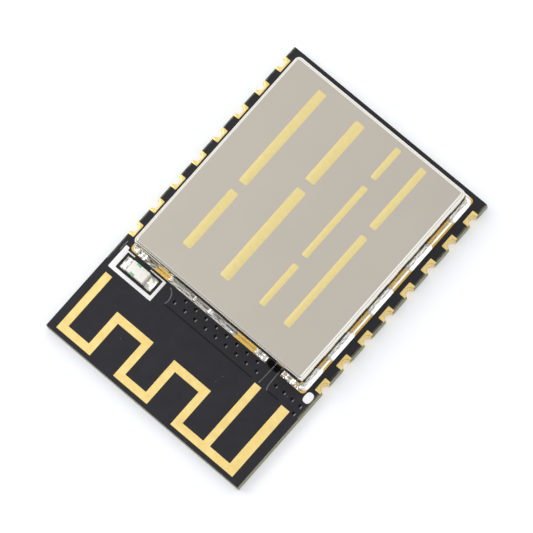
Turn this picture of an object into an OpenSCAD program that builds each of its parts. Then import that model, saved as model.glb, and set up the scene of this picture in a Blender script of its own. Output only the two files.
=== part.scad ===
// Castellated radio module: a small circuit board with plated half-hole contacts along both
// long edges, a printed meander antenna at one end, and a soldered metal can over the chips.
// Millimetres. The origin is under the middle of the board, +Z is up, +Y points to the antenna.

/* [Board] */
// Width across the two rows of edge contacts
board_w = 16; // [15.5:0.1:20]
// Length from the plain end to the antenna end
board_l = 23.6; // [23.3:0.1:32]
// Thickness of the finished board
board_t = 0.8; // [0.6:0.1:1.6]
// Thickness of the outer copper, with the solder mask level with it
copper_t = 0.035; // [0.025:0.005:0.07]
// Strip of bare laminate between the upper mask and the edge, beside the contacts
mask_edge_gap = 0.1; // [0.05:0.01:0.14]

/* [Edge contacts] */
// Number of contacts along each long edge
contact_count = 8; // [2:1:8]
// Distance from one contact to the next
contact_pitch = 2; // [1.4:0.05:2.1]
// Distance from the plain end of the board to the middle of the last contact
contact_end_gap = 1.36; // [1.2:0.02:1.8]
// Length of each contact along the edge
contact_l = 1; // [0.9:0.02:1.3]
// How far the upper lands reach in from the edge
contact_land_w = 0.43; // [0.41:0.01:0.6]
// How far the lower lands reach in from the edge
contact_foot_w = 0.9; // [0.5:0.05:1.5]
// Radius of the plated half hole
contact_hole_r = 0.3; // [0.2:0.01:0.35]
// Thickness of the plating in every hole
plating_t = 0.03; // [0.02:0.005:0.05]

/* [Antenna] */
// Gap between the antenna and the end of the board
antenna_end_gap = 0.3; // [0.2:0.05:0.8]
// Gap between the antenna's ground leg and the edge of the board
antenna_side_gap = 0.7; // [0.6:0.05:1.2]
// Gap between the antenna's open end and the other edge of the board
antenna_tail_gap = 0.58; // [0.5:0.02:1]
// Length of the antenna, from its upper bars to the feet of its two long legs
antenna_l = 5.4; // [5:0.1:6]
// Height of the meander, from its upper bars to its lower bars
meander_l = 3.22; // [2:0.02:4]
// Length of the open end's leg
tail_l = 4.67; // [4:0.01:5]
// Width of the antenna trace
trace_w = 0.55; // [0.4:0.01:0.7]
// Width of the ground leg
ground_leg_w = 0.68; // [0.5:0.01:0.9]
// Distance from the ground leg to the feed leg, middle to middle
feed_spacing = 2.27; // [1.8:0.01:2.6]
// How much longer the meander's lower bars are than its upper bars
low_bar_extra = 0.25; // [0:0.01:0.5]
// Strip of board between the antenna's feet and the shield can
strip_l = 1.58; // [1.55:0.01:2.5]

/* [Shield can] */
// Height of the can above the board
shield_h = 2.2; // [2.1:0.1:3.5]
// Gap between the can and each long edge of the board
shield_side_gap = 1; // [0.95:0.05:1.4]
// Gap between the can and the plain end of the board
shield_end_gap = 0.56; // [0.5:0.01:1.2]
// Thickness of the can's sheet
sheet_t = 0.2; // [0.1:0.01:0.25]
// Outer radius of the bend round the lid
shield_edge_r = 0.28; // [0.27:0.01:0.33]
// Outer radius of the can's upright corners
shield_corner_r = 0.36; // [0.34:0.01:1]
// Width of the notch over the antenna's feed line
feed_notch_w = 1.1; // [0.8:0.05:1.2]
// Height of the notch over the antenna's feed line
feed_notch_h = 0.3; // [0.2:0.05:0.6]

/* [Ground ring and solder] */
// How far the ground ring shows outside the can
ring_out = 0.24; // [0.22:0.01:0.4]
// How far the ground ring reaches inside the can
ring_in = 0.3; // [0.2:0.01:0.45]
// Outer corner radius of the ground ring
ring_corner_r = 0.25; // [0.1:0.01:0.4]
// Width of the break in the ring for the feed line
ring_break_w = 1.27; // [1.22:0.01:1.6]
// Width of the thin solder line along the foot of the can
bead_w = 0.09; // [0.06:0.01:0.14]
// Height of the thin solder line along the foot of the can
bead_h = 0.12; // [0.08:0.01:0.2]
// Height of the solder deposits along the can
deposit_h = 0.28; // [0.2:0.01:0.6]

/* [Indicator LED] */
// Length of the LED chip
led_l = 1.6; // [1.4:0.05:1.8]
// Width of the LED chip
led_w = 0.85; // [0.6:0.05:0.95]
// Thickness of the LED's base
led_base_t = 0.22; // [0.15:0.01:0.3]
// Length of the LED's lens
led_lens_l = 1.12; // [0.8:0.02:1.16]
// Height of the LED's lens above its base
led_lens_h = 0.36; // [0.2:0.02:0.6]
// Length of each end terminal on the LED's base
led_terminal_l = 0.2; // [0.12:0.01:0.22]
// Thickness of the LED's terminals
led_terminal_t = 0.03; // [0.02:0.01:0.05]
// Length of solder beyond each end of the LED
led_solder_l = 0.48; // [0.3:0.02:0.5]
// Length of the two green marks on the lens
led_mark_l = 0.34; // [0.2:0.02:0.5]
// Width of the two green marks on the lens
led_mark_w = 0.14; // [0.1:0.01:0.25]
// Distance of the green marks from the middle of the lens
led_mark_shift = 0.21; // [0:0.01:0.25]
// Distance from the long edge of the board to the middle of the LED
led_side_gap = 2.29; // [2.27:0.01:2.6]
// Distance from the can to the middle of the LED
led_shield_gap = 1.07; // [1.06:0.01:1.15]

/* [Printing] */
// Thickness of the white print
print_t = 0.02; // [0.01:0.005:0.04]
// Length of the window in the LED's printed frame
frame_window_l = 2.93; // [2.8:0.01:3]
// Width of the window in the LED's printed frame
frame_window_w = 1.22; // [1.1:0.01:1.3]
// Width of the frame's bar next to the edge of the board
frame_outer_bar = 0.4; // [0.3:0.01:0.5]
// Width of the frame's bar away from the edge of the board
frame_inner_bar = 0.22; // [0.1:0.01:0.4]
// Width of the frame's bar on the antenna side
frame_upper_bar = 0.26; // [0.1:0.01:0.35]
// Width of the frame's thin bar beside the can
frame_lower_bar = 0.08; // [0.05:0.01:0.1]
// Length of the opening in the frame's thin bar
frame_opening_l = 1.3; // [0.6:0.05:1.6]
// Distance of that opening from the middle of the LED
frame_opening_shift = 0.27; // [0:0.01:0.3]
// Length of the tail on the frame's outer bar
frame_tail_l = 0.2; // [0.1:0.01:0.3]
// Width of the tail on the frame's outer bar
frame_tail_w = 0.3; // [0.2:0.01:0.3]
// Width of the dot that marks the first contact
dot_w = 0.55; // [0.3:0.01:0.6]
// Length of the dot that marks the first contact
dot_l = 0.75; // [0.6:0.01:1]
// Gap between the dot and the first contact
dot_gap = 0.27; // [0.1:0.01:0.5]
// Gap between the dot and the edge of the board
dot_edge_gap = 0.11; // [0.1:0.01:0.14]

/* [Vias] */
// Radius of the drilled vias
via_r = 0.13; // [0.1:0.01:0.15]
// Depth of the dimple that the mask leaves over each via
dimple_depth = 0.015; // [0.005:0.005:0.02]
// Distance from one via to the next in the two rows beside the can
via_pitch = 0.855; // [0.6:0.005:0.86]
// Number of vias in the row nearer to the antenna
via_outer_count = 9; // [1:1:9]
// Number of vias in the row nearer to the can
via_inner_count = 8; // [1:1:8]
// Distance from the can to the row of vias nearer to the antenna
via_outer_gap = 1; // [0.9:0.01:1.2]
// Distance from the can to the row of vias nearer to it
via_inner_gap = 0.5; // [0.5:0.01:0.55]
// Distance from the feed line to the first via of the outer row
via_outer_start = 0.625; // [0.6:0.005:0.7]
// Distance from the feed line to the first via of the inner row
via_inner_start = 0.995; // [0.9:0.005:1.1]
// Number of vias between the ground leg and the corner contact
via_side_count = 4; // [1:1:4]
// Distance from one of those vias to the next
via_side_pitch = 0.667; // [0.5:0.001:0.68]
// Distance from the edge of the board to the first of those vias
via_side_start = 0.4; // [0.35:0.01:0.5]
// Distance from the can to those vias
via_side_gap = 0.91; // [0.8:0.01:1.1]
// Distance from the can to the single via beyond the first of those vias
via_single_gap = 1.52; // [1.4:0.01:1.54]

/* [Processor] */
// Side of the processor's square body
processor_w = 5; // [4:0.1:5.2]
// Height of the processor's body
processor_h = 0.8; // [0.6:0.05:1.2]
// Number of pads along each side of the processor
processor_pads_per_side = 8; // [4:1:8]
// Distance from one processor pad to the next
processor_pitch = 0.5; // [0.4:0.01:0.5]
// Width of each processor pad
processor_pad_w = 0.25; // [0.2:0.01:0.3]
// Length of each processor pad
processor_pad_l = 0.4; // [0.3:0.01:0.5]
// Side of the processor's ground pad
processor_ground_w = 3.2; // [2:0.1:3.2]
// Thickness of the processor's pads
processor_pad_t = 0.05; // [0.03:0.01:0.1]

/* [Memory chip] */
// Length of the memory chip's body
memory_l = 4.9; // [4.4:0.1:5.2]
// Width of the memory chip's body
memory_w = 3.9; // [3.5:0.1:4.2]
// Height of the memory chip's body
memory_h = 1.45; // [1:0.05:1.6]
// Gap under the memory chip's body
memory_standoff = 0.1; // [0.05:0.01:0.2]
// Slope of the body's sides from the parting line
memory_draft = 0.14; // [0.05:0.01:0.2]
// Number of leads along each side of the memory chip
lead_count = 4; // [2:1:4]
// Distance from one lead to the next
lead_pitch = 1.27; // [1:0.01:1.3]
// Width of each lead
lead_w = 0.42; // [0.3:0.01:0.5]
// Thickness of each lead
lead_t = 0.2; // [0.12:0.01:0.25]
// How far the leads reach beyond the body
lead_reach = 1.05; // [1:0.01:1.1]
// Length of each lead's foot
lead_foot_l = 0.55; // [0.45:0.01:0.6]

/* [Crystal] */
// Length of the crystal's base
crystal_l = 3.2; // [2.5:0.1:3.3]
// Width of the crystal's base
crystal_w = 2.5; // [2:0.1:2.6]
// Thickness of the crystal's base
crystal_base_t = 0.4; // [0.3:0.05:0.6]
// Thickness of the crystal's metal lid
crystal_lid_t = 0.3; // [0.2:0.05:0.5]
// Ledge round the crystal's lid
crystal_ledge = 0.15; // [0.1:0.01:0.25]
// Corner radius of the crystal's base and lid
crystal_corner_r = 0.25; // [0.1:0.01:0.4]
// Length of each of the crystal's four pads
crystal_pad_l = 0.9; // [0.6:0.05:1.1]
// Width of each of the crystal's four pads
crystal_pad_w = 0.8; // [0.5:0.05:0.9]

/* [Chip resistors, capacitors and inductors] */
// Length of the small chip parts
chip_l = 1; // [0.9:0.02:1.1]
// Width of the small chip parts
chip_w = 0.5; // [0.4:0.02:0.6]
// Length of the end caps on the small chip parts
cap_l = 0.22; // [0.15:0.01:0.28]
// Thickness of the end caps' metal
cap_t = 0.02; // [0.01:0.005:0.04]
// Height of the capacitors
capacitor_h = 0.5; // [0.3:0.02:0.8]
// Height of the resistors
resistor_h = 0.35; // [0.25:0.01:0.5]
// Height of the inductors
inductor_h = 0.55; // [0.35:0.01:0.8]
// Distance between neighbouring capacitors
capacitor_pitch = 1.2; // [0.9:0.05:1.25]
// Distance between neighbouring resistors
resistor_pitch = 1.2; // [0.9:0.05:1.3]
// How far each land reaches out from under a chip part or a lead
land_margin = 0.1; // [0.05:0.01:0.15]

/* [Hidden] */
$fn = 48;

// Levels of the board's layers
laminate_bottom = copper_t;
laminate_top = board_t - copper_t;

// The antenna
antenna_top_y = board_l / 2 - antenna_end_gap;
antenna_foot_y = antenna_top_y - antenna_l;
ground_leg_x = -board_w / 2 + antenna_side_gap + ground_leg_w / 2;
feed_x = ground_leg_x + feed_spacing;
tail_x = board_w / 2 - antenna_tail_gap - trace_w / 2;
// Three upper bars and two longer lower bars lie between the feed leg and the tail
upper_span = (tail_x - feed_x - 2 * low_bar_extra) / 5;
lower_span = upper_span + low_bar_extra;
leg_x = [
    feed_x,
    feed_x + upper_span,
    feed_x + upper_span + lower_span,
    feed_x + 2 * upper_span + lower_span,
    feed_x + 2 * upper_span + 2 * lower_span,
    tail_x
];

// The shield can's outside
shield_front_y = antenna_foot_y - strip_l;
shield_back_y = -board_l / 2 + shield_end_gap;
shield_w = board_w - 2 * shield_side_gap;
shield_l = shield_front_y - shield_back_y;
shield_y = (shield_front_y + shield_back_y) / 2;
side_wall_l = shield_l - 2 * shield_corner_r;
end_wall_l = shield_w - 2 * shield_corner_r;

// Solder deposits, each as [distance from the start of the straight wall, length].
// The walls are taken anticlockwise from above: right, front, left, back.
// A deposit that meets an end of its straight wall goes on round the corner.
corner_deposit_l = 1.35;
deposit_l = 2.05;
right_deposits = [
    [0, corner_deposit_l], [3.2, deposit_l], [6.6, deposit_l], [10.3, deposit_l],
    [side_wall_l - corner_deposit_l, corner_deposit_l]
];
feed_gap_start = end_wall_l / 2 - feed_x - ring_break_w / 2;
feed_gap_end = feed_gap_start + ring_break_w;
feed_deposit_l = 0.92;
front_deposits = [
    [0, 1.54],
    [2.59, 5.55],
    [feed_gap_start - feed_deposit_l, feed_deposit_l],
    [feed_gap_end, end_wall_l - feed_gap_end]
];
left_deposits = [
    [0, corner_deposit_l], [2.19, 2.17], [5.98, deposit_l], [9.66, deposit_l],
    [side_wall_l - corner_deposit_l, corner_deposit_l]
];
back_deposits = [
    [0, corner_deposit_l], [3.3, deposit_l], [7, deposit_l],
    [end_wall_l - corner_deposit_l, corner_deposit_l]
];
// Thickness left at the outer edge of a fillet
toe_t = 0.02;
// Radius of a fillet's hollow side, as a multiple of the distance between its two edges
fillet_hollow = 1.2;
// Closer than this to the end of a wall, a deposit counts as meeting it
seam_t = 0.001;

// The indicator LED
led_x = board_w / 2 - led_side_gap;
led_y = shield_front_y + led_shield_gap;
led_land_l = led_solder_l + led_terminal_l;
// How far the lens's two sloped ends lean in
led_lens_draft = 0.04;

// Nearly a half round end, with a short flat left
dot_corner_r = 0.45 * dot_w;

// The first contact is the one nearest to the antenna
first_contact_y = -board_l / 2 + contact_end_gap + (contact_count - 1) * contact_pitch;

// Places of the parts under the can, from the middle of the can
processor_at = [0.6, 3];
memory_at = [0.9, -3.4];
crystal_at = [2.7 - shield_w / 2, 1.9];
capacitor_column_x = shield_w / 2 - 2.1;
upper_capacitor_count = 5;
upper_capacitor_y = 5.6;
lower_capacitor_count = 3;
lower_capacitor_y = -1.4;
feed_capacitor_x = feed_x + 1.59;
resistor_column_x = 2.7 - shield_w / 2;
resistor_count = 4;
resistor_y = -1.4;
feed_part_y = [6, 4.6];

// Each chip part is [x, y, turn]
capacitor_places = concat(
    [for (i = [0 : upper_capacitor_count - 1])
        [capacitor_column_x, upper_capacitor_y - i * capacitor_pitch, 0]],
    [for (i = [0 : lower_capacitor_count - 1])
        [capacitor_column_x, lower_capacitor_y - i * capacitor_pitch, 0]],
    [for (y = feed_part_y) [feed_capacitor_x, y, 90]]
);
resistor_places = [
    for (i = [0 : resistor_count - 1]) [resistor_column_x, resistor_y - i * resistor_pitch, 0]
];
inductor_places = [for (y = feed_part_y) [feed_x, y, 90]];

SIDES = [["left", -1], ["right", 1]];

// ---- Shared shapes ----

// A rectangle centred on the origin
module plate(w, l) {
    square([w, l], center = true);
}

// A rectangle with round corners
module round_plate(w, l, r) {
    plate(w - 2 * r, l);
    plate(w, l - 2 * r);
    for (x = [-1, 1], y = [-1, 1])
        translate([x * (w / 2 - r), y * (l / 2 - r)])
            circle(r);
}

// A quarter of a disc, in the first quadrant
module quarter_disc(r) {
    intersection() {
        circle(r);
        square(r);
    }
}

// Raises a flat outline into the upper copper layer
module in_top_copper() {
    translate([0, 0, laminate_top])
        linear_extrude(copper_t)
            children();
}

// Sets children down on the board inside the can
module under_can(at) {
    translate([at[0], shield_y + at[1], board_t])
        children();
}

// Sweeps a section round the can. In the section, x runs outwards from a corner's axis.
module round_the_can() {
    for (k = [0 : 3]) {
        across = k % 2 == 0 ? end_wall_l : side_wall_l;
        along = k % 2 == 0 ? side_wall_l : end_wall_l;
        translate([0, shield_y, board_t])
            rotate([0, 0, 90 * k])
                translate([across / 2, along / 2, 0]) {
                    rotate_extrude(angle = 90)
                        children();
                    rotate([90, 0, 0])
                        linear_extrude(along)
                            children();
                }
    }
}

// ---- Board ----

// Every drilled edge hole, in plan
module contact_holes(r) {
    for (side = SIDES, i = [1 : contact_count])
        translate([side[1] * board_w / 2, contact_y(i)])
            circle(r);
}

function contact_y(i) = first_contact_y - (i - 1) * contact_pitch;

function via_places() = concat(
    [for (i = [0 : via_outer_count - 1])
        [feed_x + via_outer_start + i * via_pitch, shield_front_y + via_outer_gap]],
    [for (i = [0 : via_inner_count - 1])
        [feed_x + via_inner_start + i * via_pitch, shield_front_y + via_inner_gap]],
    [for (i = [0 : via_side_count - 1])
        [-board_w / 2 + via_side_start + i * via_side_pitch, shield_front_y + via_side_gap]],
    [[-board_w / 2 + via_side_start, shield_front_y + via_single_gap]]
);

module board_core() {
    color("darkkhaki")
        translate([0, 0, laminate_bottom])
            linear_extrude(laminate_top - laminate_bottom)
                difference() {
                    plate(board_w, board_l);
                    contact_holes(contact_hole_r + plating_t);
                    for (p = via_places())
                        translate(p)
                            circle(via_r);
                }
}

module via_barrels() {
    color("goldenrod")
        translate([0, 0, laminate_bottom])
            linear_extrude(laminate_top - laminate_bottom)
                for (p = via_places())
                    translate(p)
                        difference() {
                            circle(via_r);
                            circle(via_r - plating_t);
                        }
}

// The lands of all contacts, in plan, reaching in by w
module contact_lands(w) {
    for (side = SIDES, i = [1 : contact_count])
        translate([side[1] * (board_w - w) / 2, contact_y(i)])
            plate(w, contact_l);
}

module top_solder_mask() {
    color([0.15, 0.15, 0.17])
        difference() {
            in_top_copper()
                difference() {
                    top_mask_outline();
                    contact_lands(contact_land_w);
                    antenna_outline();
                    ring_outline();
                    land_outlines();
                }
            for (p = via_places())
                translate([p[0], p[1], board_t - dimple_depth])
                    cylinder(h = 2 * dimple_depth, r = via_r);
        }
}

// The mask stops short of the long edges beside the contacts, and covers the antenna's end
module top_mask_outline() {
    translate([0, (antenna_foot_y + board_l / 2) / 2])
        plate(board_w, board_l / 2 - antenna_foot_y);
    translate([0, (antenna_foot_y - board_l / 2) / 2])
        plate(board_w - 2 * mask_edge_gap, antenna_foot_y + board_l / 2);
}

module bottom_solder_mask() {
    color([0.15, 0.15, 0.17])
        linear_extrude(copper_t)
            difference() {
                plate(board_w, board_l);
                contact_lands(contact_foot_w);
            }
}

// ---- Edge contacts ----

// One land with its half hole, in plan. The edge of the board is at x = 0.
module contact_land_outline(w) {
    difference() {
        translate([-w / 2, 0])
            plate(w, contact_l);
        circle(contact_hole_r);
    }
}

// The plated wall of one half hole, in plan
module half_barrel_outline() {
    drill_r = contact_hole_r + plating_t;
    difference() {
        intersection() {
            circle(drill_r);
            translate([-drill_r / 2, 0])
                plate(drill_r, 2 * drill_r);
        }
        circle(contact_hole_r);
    }
}

// Upper land, plated half hole and lower land in one piece
module edge_contact(side, i) {
    color("gold")
        translate([side * board_w / 2, contact_y(i), 0])
            rotate([0, 0, side < 0 ? 180 : 0]) {
                linear_extrude(copper_t)
                    contact_land_outline(contact_foot_w);
                linear_extrude(board_t)
                    half_barrel_outline();
                translate([0, 0, laminate_top])
                    linear_extrude(copper_t)
                        contact_land_outline(contact_land_w);
            }
}

// ---- Antenna and ground ring ----

// An upright leg of the antenna, hanging down from the upper bars
module antenna_leg(x, w, l) {
    translate([x, antenna_top_y - l / 2])
        plate(w, l);
}

// A bar between two legs, with its upper edge at y
module antenna_bar(x1, x2, y) {
    translate([(x1 + x2) / 2, y - trace_w / 2])
        plate(x2 - x1 + trace_w, trace_w);
}

module antenna_outline() {
    low_bar_y = antenna_top_y - meander_l + trace_w;
    antenna_leg(ground_leg_x, ground_leg_w, antenna_l);
    antenna_leg(leg_x[0], trace_w, antenna_l);
    for (k = [1 : 4])
        antenna_leg(leg_x[k], trace_w, meander_l);
    antenna_leg(leg_x[5], trace_w, tail_l);
    antenna_bar(ground_leg_x - (ground_leg_w - trace_w) / 2, leg_x[1], antenna_top_y);
    antenna_bar(leg_x[2], leg_x[3], antenna_top_y);
    antenna_bar(leg_x[4], leg_x[5], antenna_top_y);
    antenna_bar(leg_x[1], leg_x[2], low_bar_y);
    antenna_bar(leg_x[3], leg_x[4], low_bar_y);
}

module antenna_trace() {
    color("gold")
        in_top_copper()
            antenna_outline();
}

module ring_outline() {
    inner_w = shield_w - 2 * (sheet_t + ring_in);
    inner_l = shield_l - 2 * (sheet_t + ring_in);
    difference() {
        translate([0, shield_y])
            round_plate(shield_w + 2 * ring_out, shield_l + 2 * ring_out, ring_corner_r);
        translate([0, shield_y])
            plate(inner_w, inner_l);
        translate([feed_x, shield_front_y])
            plate(ring_break_w, 2 * (sheet_t + ring_in + ring_out));
    }
}

module ground_ring() {
    color("gold")
        in_top_copper()
            ring_outline();
}

// ---- Shield can ----

// The sheet's section: half of the lid's edge, the bend and the wall
module sheet_section() {
    bend_x = shield_corner_r - shield_edge_r;
    bend_y = shield_h - shield_edge_r;
    difference() {
        union() {
            square([bend_x, shield_h]);
            square([shield_corner_r, bend_y]);
            translate([bend_x, bend_y])
                quarter_disc(shield_edge_r);
        }
        square([bend_x, shield_h - sheet_t]);
        square([shield_corner_r - sheet_t, bend_y]);
        translate([bend_x, bend_y])
            quarter_disc(shield_edge_r - sheet_t);
    }
}

module shield_can() {
    color("silver")
        difference() {
            union() {
                round_the_can()
                    sheet_section();
                translate([0, shield_y, board_t + shield_h - sheet_t])
                    linear_extrude(sheet_t)
                        plate(end_wall_l, side_wall_l);
            }
            translate([feed_x, shield_front_y, board_t])
                linear_extrude(2 * feed_notch_h, center = true)
                    plate(feed_notch_w, 4 * sheet_t);
        }
}

// Section of a hollow fillet, w wide and h high, with its foot against a wall at x = 0
module fillet_section(w, h) {
    run = [w - toe_t, h - toe_t];
    d = norm(run);
    arc_r = fillet_hollow * d;
    reach = sqrt(arc_r * arc_r - d * d / 4);
    difference() {
        square([w, h]);
        translate([(w + toe_t) / 2 + reach * run[1] / d, (h + toe_t) / 2 + reach * run[0] / d])
            circle(arc_r, $fn = 96);
    }
}

// One deposit against a wall at x = 0, from y = 0 to y = l. A free end runs out to the wall.
module deposit(l, start_free, end_free) {
    start = start_free ? ring_out : 0;
    end = end_free ? l - ring_out : l;
    intersection() {
        translate([0, l, 0])
            rotate([90, 0, 0])
                linear_extrude(l)
                    fillet_section(ring_out, deposit_h);
        linear_extrude(deposit_h) {
            translate([0, start])
                square([ring_out, end - start]);
            if (end_free)
                translate([0, end])
                    quarter_disc(ring_out);
            if (start_free)
                translate([0, start])
                    mirror([0, 1])
                        quarter_disc(ring_out);
        }
    }
}

// The deposits along wall k, and the one round the corner at its far end
module wall_deposits(k) {
    walls = [right_deposits, front_deposits, left_deposits, back_deposits];
    wall_x = (k % 2 == 0 ? shield_w : shield_l) / 2;
    wall_l = k % 2 == 0 ? side_wall_l : end_wall_l;
    for (d = walls[k])
        translate([wall_x, d[0] - wall_l / 2, 0])
            deposit(d[1], d[0] > seam_t, d[0] + d[1] < wall_l - seam_t);
    translate([wall_x - shield_corner_r, wall_l / 2, 0])
        rotate_extrude(angle = 90)
            translate([shield_corner_r, 0])
                fillet_section(ring_out, deposit_h);
}

module shield_solder() {
    color("lightgray") {
        difference() {
            round_the_can()
                translate([shield_corner_r, 0])
                    fillet_section(bead_w, bead_h);
            translate([feed_x, shield_front_y, board_t])
                linear_extrude(2 * deposit_h, center = true)
                    plate(ring_break_w, 2 * ring_out);
        }
        for (k = [0 : 3])
            translate([0, shield_y, board_t])
                rotate([0, 0, 90 * k])
                    wall_deposits(k);
    }
}

// ---- Indicator LED ----

// Sets children down at the LED, one for each end
module at_led_ends() {
    for (turn = [0, 180])
        translate([led_x, led_y, board_t])
            rotate([0, 0, turn])
                children();
}

module led_base() {
    color("ivory")
        translate([led_x, led_y, board_t + led_terminal_t])
            linear_extrude(led_base_t)
                plate(led_l - 2 * led_terminal_t, led_w);
}

module led_lens() {
    color("oldlace")
        translate([led_x, led_y, board_t + led_terminal_t + led_base_t])
            rotate([90, 0, 0])
                linear_extrude(led_w, center = true)
                    polygon([
                        [-led_lens_l / 2, 0],
                        [led_lens_l / 2, 0],
                        [led_lens_l / 2 - led_lens_draft, led_lens_h],
                        [-led_lens_l / 2 + led_lens_draft, led_lens_h]
                    ]);
}

// Each terminal wraps the end of the base, from its underside to its top
module led_terminals() {
    color("tan")
        at_led_ends()
            difference() {
                translate([led_l / 2 - led_terminal_l, -led_w / 2, 0])
                    cube([led_terminal_l, led_w, led_base_t + 2 * led_terminal_t]);
                translate([0, -led_w, led_terminal_t])
                    cube([led_l / 2 - led_terminal_t, 2 * led_w, led_base_t]);
            }
}

module led_solder() {
    color("lightgray")
        at_led_ends()
            translate([led_l / 2, led_w / 2, 0])
                rotate([90, 0, 0])
                    linear_extrude(led_w)
                        fillet_section(led_solder_l, led_base_t + led_terminal_t);
}

module led_marks() {
    color("mediumaquamarine")
        for (y = [-1, 1])
            translate([
                led_x + led_mark_shift,
                led_y + y * (led_w - led_mark_w) / 2,
                board_t + led_terminal_t + led_base_t + led_lens_h
            ])
                linear_extrude(print_t)
                    plate(led_mark_l, led_mark_w);
}

// ---- Printing on the mask ----

module led_frame_outline() {
    half_l = frame_window_l / 2;
    half_w = frame_window_w / 2;
    difference() {
        translate([-half_l - frame_inner_bar, -half_w - frame_lower_bar])
            square([
                frame_window_l + frame_inner_bar + frame_outer_bar,
                frame_window_w + frame_lower_bar + frame_upper_bar
            ]);
        plate(frame_window_l, frame_window_w);
        translate([frame_opening_shift, -half_w])
            plate(frame_opening_l, 4 * frame_lower_bar);
    }
    translate([half_l + frame_outer_bar - frame_tail_w, -half_w - frame_lower_bar - frame_tail_l])
        square([frame_tail_w, frame_tail_l]);
}

module led_frame_print() {
    color("white")
        translate([led_x, led_y, board_t])
            linear_extrude(print_t)
                led_frame_outline();
}

module first_contact_dot() {
    dot_x = -board_w / 2 + dot_edge_gap + dot_w / 2;
    dot_y = first_contact_y + contact_l / 2 + dot_gap + dot_l / 2;
    color("white")
        translate([dot_x, dot_y, board_t])
            linear_extrude(print_t)
                round_plate(dot_w, dot_l, dot_corner_r);
}

// ---- Lands for the soldered parts ----

// Places children at each pad along the four sides of the processor
module at_processor_pads() {
    for (k = [0 : 3], i = [0 : processor_pads_per_side - 1])
        rotate([0, 0, 90 * k])
            translate([
                (processor_w - processor_pad_l) / 2,
                (i - (processor_pads_per_side - 1) / 2) * processor_pitch
            ])
                children();
}

// Places children at each lead of the memory chip, with the lead running along +y
module at_memory_leads() {
    for (turn = [0, 180], i = [0 : lead_count - 1])
        rotate([0, 0, turn])
            translate([(i - (lead_count - 1) / 2) * lead_pitch, memory_w / 2])
                children();
}

// Places children at each of the crystal's four pads
module at_crystal_pads() {
    for (x = [-1, 1], y = [-1, 1])
        translate([x * (crystal_w - crystal_pad_w) / 2, y * (crystal_l - crystal_pad_l) / 2])
            children();
}

// Places children at both ends of each chip part, with the end along +x
module at_chip_ends(places) {
    for (p = places, turn = [0, 180])
        translate([p[0], p[1]])
            rotate([0, 0, p[2] + turn])
                translate([(chip_l - cap_l) / 2, 0])
                    children();
}

// All lands in plan. A land reaches out by land_margin from under each part's own metal.
module land_outlines() {
    grow = 2 * land_margin;
    translate([0, shield_y]) {
        translate(processor_at) {
            plate(processor_ground_w, processor_ground_w);
            at_processor_pads()
                translate([land_margin / 2, 0])
                    plate(processor_pad_l + land_margin, processor_pad_w);
        }
        translate(memory_at)
            at_memory_leads()
                translate([0, lead_reach - lead_foot_l / 2])
                    plate(lead_w + grow, lead_foot_l + grow);
        translate(crystal_at)
            at_crystal_pads()
                plate(crystal_pad_w + grow, crystal_pad_l + grow);
        at_chip_ends(concat(capacitor_places, resistor_places, inductor_places))
            plate(cap_l + grow, chip_w + grow);
    }
    translate([led_x, led_y])
        for (turn = [0, 180])
            rotate(turn)
                translate([led_l / 2 - led_terminal_l + led_land_l / 2, 0])
                    plate(led_land_l, led_w);
}

module component_lands() {
    color("gold")
        in_top_copper()
            land_outlines();
}

// ---- Parts under the can ----

module processor_body() {
    color([0.12, 0.12, 0.13])
        under_can(processor_at)
            translate([0, 0, processor_pad_t])
                linear_extrude(processor_h)
                    plate(processor_w, processor_w);
}

module processor_pads() {
    color("silver")
        under_can(processor_at)
            linear_extrude(processor_pad_t) {
                plate(processor_ground_w, processor_ground_w);
                at_processor_pads()
                    plate(processor_pad_l, processor_pad_w);
            }
}

// Side view of a moulded body, b wide at its parting line, where its leads come out
module moulded_section(b) {
    lower_h = (memory_h - lead_t) / 2;
    polygon([
        [-b / 2 + memory_draft, 0],
        [b / 2 - memory_draft, 0],
        [b / 2, lower_h],
        [b / 2, lower_h + lead_t],
        [b / 2 - memory_draft, memory_h],
        [-b / 2 + memory_draft, memory_h],
        [-b / 2, lower_h + lead_t],
        [-b / 2, lower_h]
    ]);
}

module memory_body() {
    color([0.12, 0.12, 0.13])
        under_can(memory_at)
            translate([0, 0, memory_standoff])
                intersection() {
                    rotate([90, 0, 0])
                        linear_extrude(memory_w, center = true)
                            moulded_section(memory_l);
                    rotate([90, 0, 90])
                        linear_extrude(memory_l, center = true)
                            moulded_section(memory_w);
                }
}

// Side view of one gull-wing lead: out of the body, down, and out along the land
module lead_section() {
    shoulder_z = memory_standoff + (memory_h - lead_t) / 2;
    knee_x = (lead_reach - lead_foot_l) / 2;
    polygon([
        [0, shoulder_z],
        [knee_x - lead_t / 2, shoulder_z],
        [lead_reach - lead_foot_l, 0],
        [lead_reach, 0],
        [lead_reach, lead_t],
        [lead_reach - lead_foot_l + lead_t, lead_t],
        [knee_x + lead_t / 2, shoulder_z + lead_t],
        [0, shoulder_z + lead_t]
    ]);
}

module memory_leads() {
    color("silver")
        under_can(memory_at)
            at_memory_leads()
                rotate([90, 0, 90])
                    linear_extrude(lead_w, center = true)
                        lead_section();
}

module crystal_base() {
    color("dimgray")
        under_can(crystal_at)
            translate([0, 0, cap_t])
                linear_extrude(crystal_base_t)
                    round_plate(crystal_w, crystal_l, crystal_corner_r);
}

module crystal_lid() {
    color("silver")
        under_can(crystal_at)
            translate([0, 0, cap_t + crystal_base_t])
                linear_extrude(crystal_lid_t)
                    round_plate(
                        crystal_w - 2 * crystal_ledge,
                        crystal_l - 2 * crystal_ledge,
                        crystal_corner_r
                    );
}

module crystal_pads() {
    color("gold")
        under_can(crystal_at)
            linear_extrude(cap_t)
                at_crystal_pads()
                    plate(crystal_pad_w, crystal_pad_l);
}

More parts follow.
